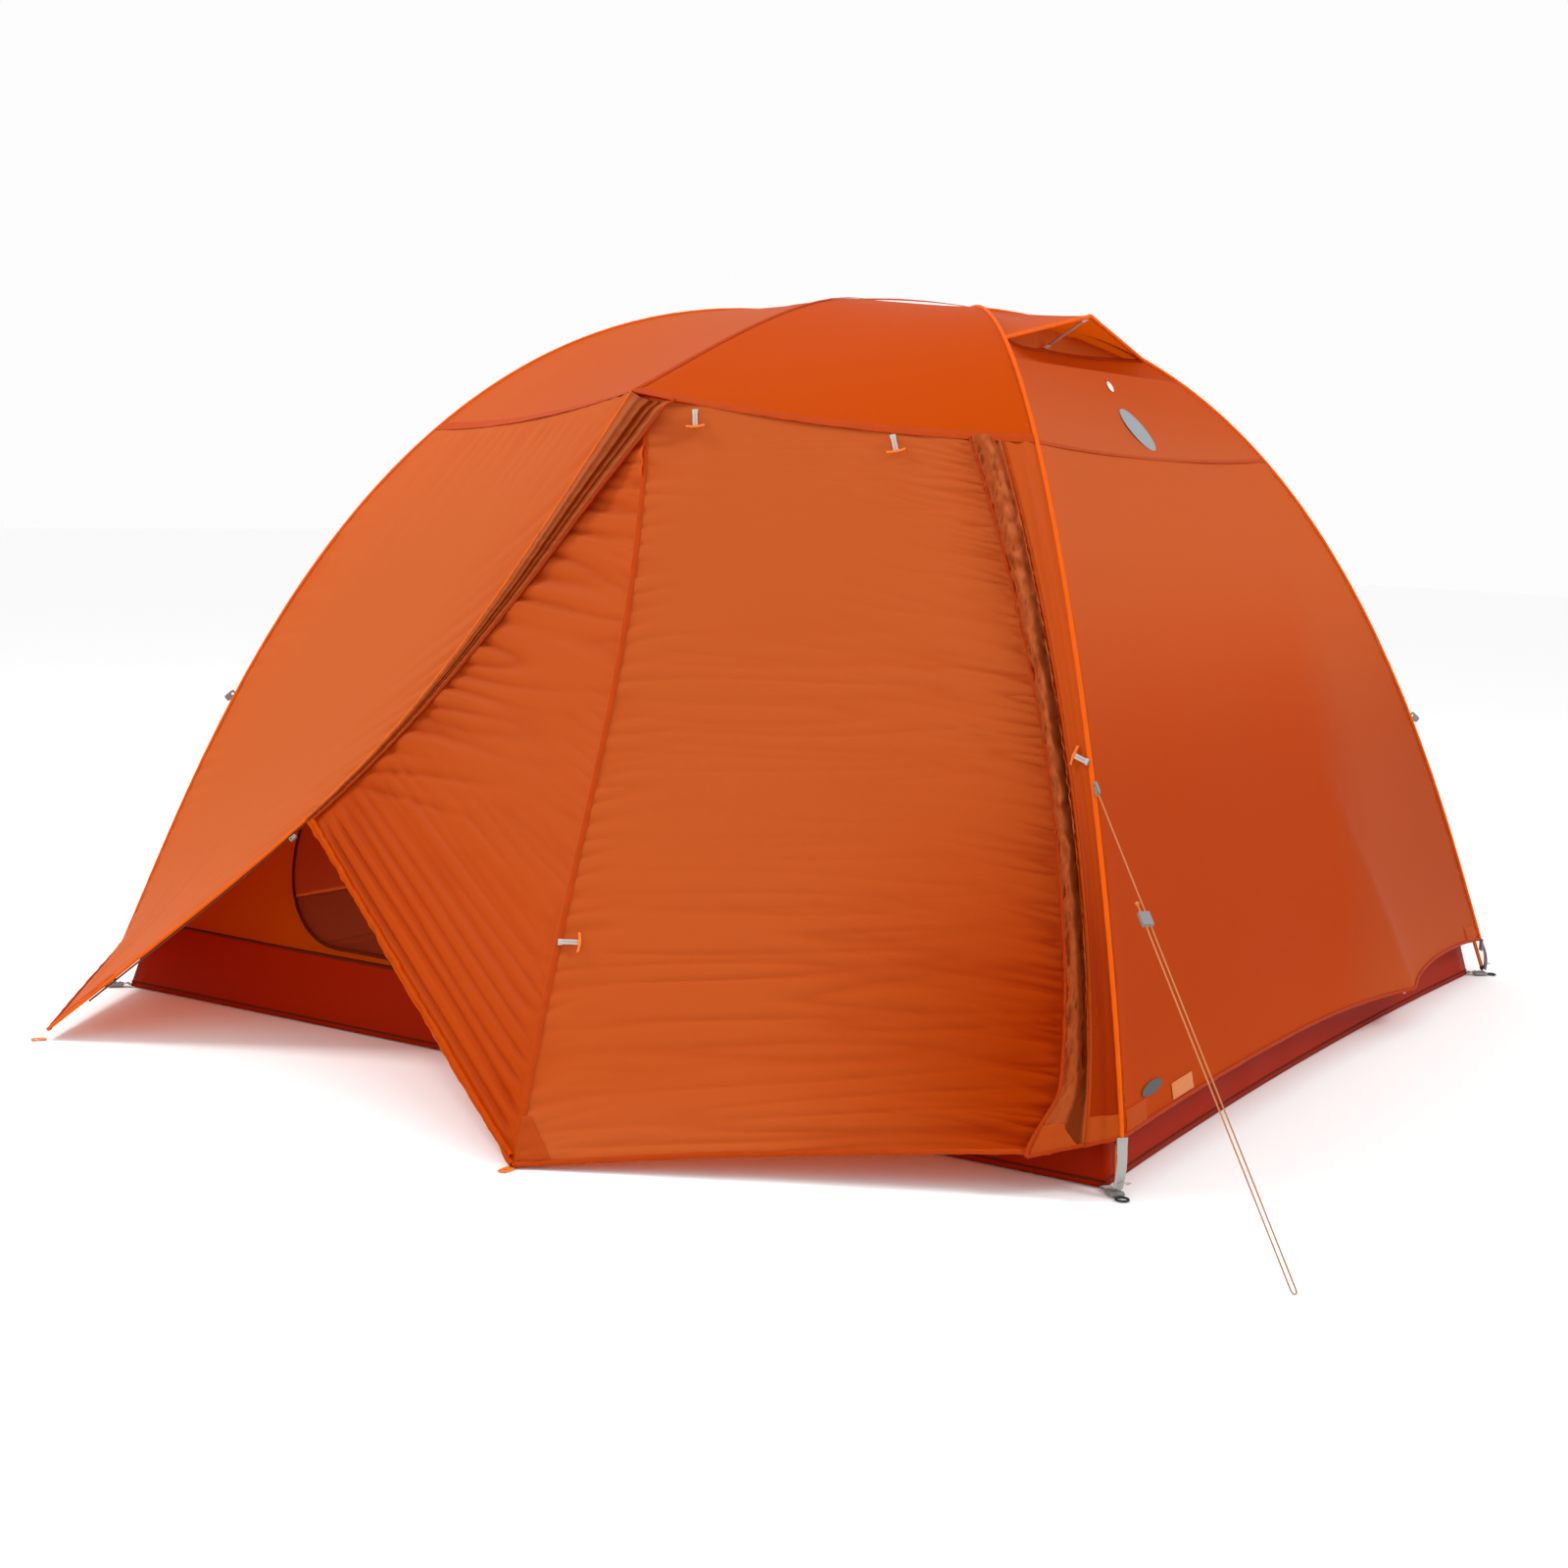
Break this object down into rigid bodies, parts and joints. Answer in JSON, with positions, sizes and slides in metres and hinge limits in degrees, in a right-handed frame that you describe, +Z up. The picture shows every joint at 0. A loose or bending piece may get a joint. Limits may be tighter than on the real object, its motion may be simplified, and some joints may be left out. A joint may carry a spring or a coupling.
{
  "type": "dome tent",
  "caption": "Free-standing dome tent on hubbed poles with an orange rain fly, inner tent, lifting vestibules and a propped vent.",
  "frame": {"origin": "on the ground, under the middle of the floor", "axes": "+Z up, +X along the ridge to the vented end, front door facing -Y"},
  "size_m": [2.9147, 3.43, 1.6178],
  "materials": {
    "fly_fabric": "satin",
    "pole_metal": "satin",
    "grey_plastic": "matte",
    "black_metal": "anodised",
    "elastic_cord": "matte",
    "webbing": "matte",
    "floor_fabric": "coated",
    "inner_fabric": "satin",
    "mesh": "mesh",
    "orange_webbing": "matte",
    "zip": "matte",
    "guy_cord": "braided",
    "patch": "woven",
    "label": "woven"
  },
  "bodies": {
    "tent": {"roof_front": "fly_fabric", "roof_back": "fly_fabric", "end_wall_right": "fly_fabric", "end_wall_left": "fly_fabric", "vestibule_side_front": "fly_fabric", "vestibule_strip_front": "fly_fabric", "vestibule_side_back": "fly_fabric", "vestibule_strip_back": "fly_fabric", "zip_flaps": "fly_fabric", "vent_crown": "fly_fabric", "vent_sill": "fly_fabric", "vent_mesh": "mesh", "vent_patch": "webbing", "badge_patch": "patch", "leg_pole_front_right": "pole_metal", "leg_pole_back_right": "pole_metal", "leg_pole_front_left": "pole_metal", "leg_pole_back_left": "pole_metal", "ridge_pole": "pole_metal", "cross_pole": "pole_metal", "pole_ferrules": "pole_metal", "pole_tips": "grey_plastic", "shock_cords": "elastic_cord", "pole_hubs": "grey_plastic", "cross_pole_clip": "grey_plastic", "bathtub_floor": "floor_fabric", "inner_end_walls": "inner_fabric", "inner_roof": "inner_fabric", "inner_wall_front": "inner_fabric", "inner_wall_back": "inner_fabric", "canopy_clips": "grey_plastic", "corner_straps": "webbing", "floor_straps": "webbing", "corner_buckles": "grey_plastic", "corner_rings": "black_metal", "side_stake_loops": "orange_webbing", "zip_coils": "zip", "strip_toggles": "orange_webbing", "guy_locks": "grey_plastic", "guyline": "guy_cord", "hem_hooks": "grey_plastic", "care_label": "label"},
    "awning_front": {"awning_front": "fly_fabric", "awning_toggles_front": "orange_webbing", "stake_loop_front": "orange_webbing"},
    "door_front": {"door_front": "fly_fabric"},
    "inner_door_front": {"inner_door_front": "inner_fabric"},
    "zip_slider_front": {"zip_slider_front": "grey_plastic"},
    "awning_back": {"awning_back": "fly_fabric", "awning_toggles_back": "orange_webbing", "stake_loop_back": "orange_webbing"},
    "door_back": {"door_back": "fly_fabric"},
    "inner_door_back": {"inner_door_back": "inner_fabric"},
    "zip_slider_back": {"zip_slider_back": "grey_plastic"},
    "vent_hood": {"vent_hood": "fly_fabric"},
    "vent_strut": {"vent_strut": "webbing"},
    "tensioner": {"guyline_tensioner": "grey_plastic"}
  },
  "joints": [
    {"name": "awning_front_lift", "type": "hinge", "parent": "tent", "child": "awning_front", "pos_m": [0.09461, -0.8883, 1.3477], "axis": [-0.9284, -0.3602, 0.0913], "range_deg": [0, 62]},
    {"name": "door_front_swing", "type": "hinge", "parent": "awning_front", "child": "door_front", "pos_m": [0.06537, -0.97549, 1.2273], "axis": [-0.1867, 0.4918, 0.8504], "range_deg": [0, 110]},
    {"name": "inner_door_front_swing", "type": "hinge", "parent": "tent", "child": "inner_door_front", "pos_m": [0.187, -1.09698, 0.165], "axis": [0, -0.385, -0.9229], "range_deg": [0, 25]},
    {"name": "zip_slider_front_slide", "type": "slide", "parent": "tent", "child": "zip_slider_front", "axis": [-0.6143, -0.4297, -0.6618], "range_m": [0, 0.18]},
    {"name": "awning_back_lift", "type": "hinge", "parent": "tent", "child": "awning_back", "pos_m": [0.09461, 0.8883, 1.3477], "axis": [0.9284, -0.3602, -0.0913], "range_deg": [0, 62]},
    {"name": "door_back_swing", "type": "hinge", "parent": "awning_back", "child": "door_back", "pos_m": [0.06537, 0.97549, 1.2273], "axis": [0.1867, 0.4918, -0.8504], "range_deg": [0, 110]},
    {"name": "inner_door_back_swing", "type": "hinge", "parent": "tent", "child": "inner_door_back", "pos_m": [0.187, 1.09698, 0.165], "axis": [0, -0.385, 0.9229], "range_deg": [0, 25]},
    {"name": "zip_slider_back_slide", "type": "slide", "parent": "tent", "child": "zip_slider_back", "axis": [-0.6143, 0.4297, -0.6618], "range_m": [0, 0.18]},
    {"name": "vent_hood_close", "type": "hinge", "parent": "tent", "child": "vent_hood", "pos_m": [0.275, 0, 1.596], "axis": [0, 1, 0], "range_deg": [0, 9]},
    {"name": "vent_strut_fold", "type": "hinge", "parent": "vent_hood", "child": "vent_strut", "pos_m": [0.562, 0, 1.57], "axis": [0, 1, 0], "range_deg": [0, 34]},
    {"name": "tensioner_slide", "type": "slide", "parent": "tent", "child": "tensioner", "axis": [0.5795, -0.4866, -0.6537], "range_m": [0, 0.25]}
  ],
  "couplings": [
    {"joint": "vent_strut_fold", "follows": "vent_hood_close", "ratio": 3.7}
  ]
}
